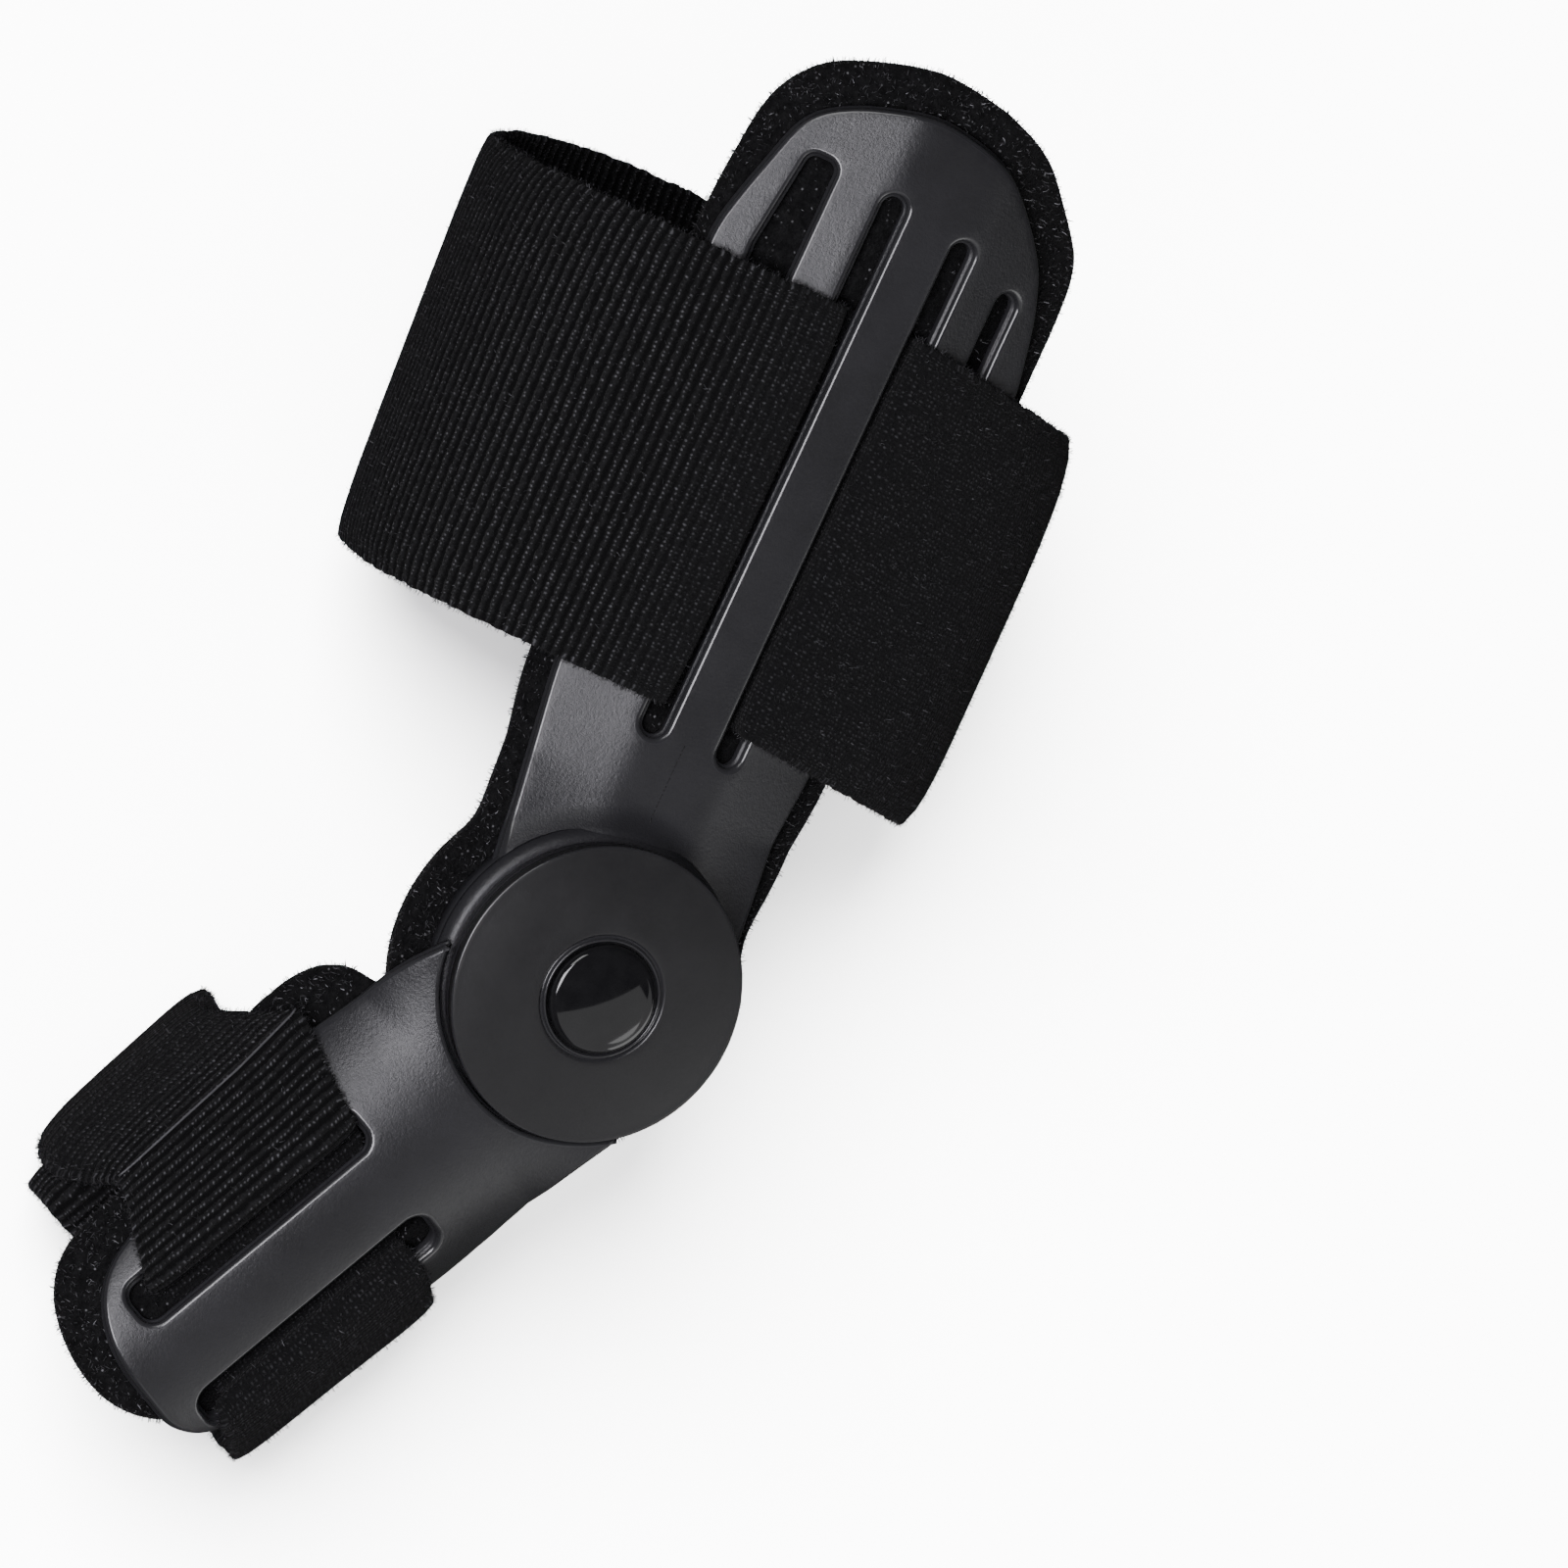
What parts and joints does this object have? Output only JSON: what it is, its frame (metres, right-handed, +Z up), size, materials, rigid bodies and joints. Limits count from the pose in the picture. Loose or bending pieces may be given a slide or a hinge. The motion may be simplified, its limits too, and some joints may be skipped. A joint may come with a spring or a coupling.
{
  "type": "bunion corrector",
  "caption": "Hinged toe and foot splint with curved plastic arms, foam pads and open knitted strap loops that hold a bent big toe in line.",
  "frame": {"origin": "centre of the overall box, on the surface that the backs of the two strap loops rest on", "axes": "+X along the foot arm towards its heel end, +Y towards the top of the foot, +Z up, out through the hinge disc"},
  "size_m": [0.197, 0.0978, 0.0716],
  "materials": {
    "arm_plastic": "satin moulded, fine grain",
    "disc_plastic": "satin moulded, fine grain",
    "button_plastic": "polished",
    "foam_pad": "looped pile over foam",
    "knitted_strap": "ribbed elastic knit"
  },
  "bodies": {
    "foot": {"foot_arm": "arm_plastic", "foot_pad": "foam_pad", "foot_strap": "knitted_strap"},
    "toe": {"toe_arm": "arm_plastic", "hinge_disc": "disc_plastic", "hinge_rivet": "button_plastic", "toe_pad": "foam_pad", "toe_strap": "knitted_strap"}
  },
  "joints": [
    {"name": "toe_hinge", "type": "hinge", "parent": "foot", "child": "toe", "pos_m": [-0.02777, -0.00361, 0.04795], "axis": [-0.25, 0, 0.9682], "range_deg": [-25, 27.8]}
  ]
}
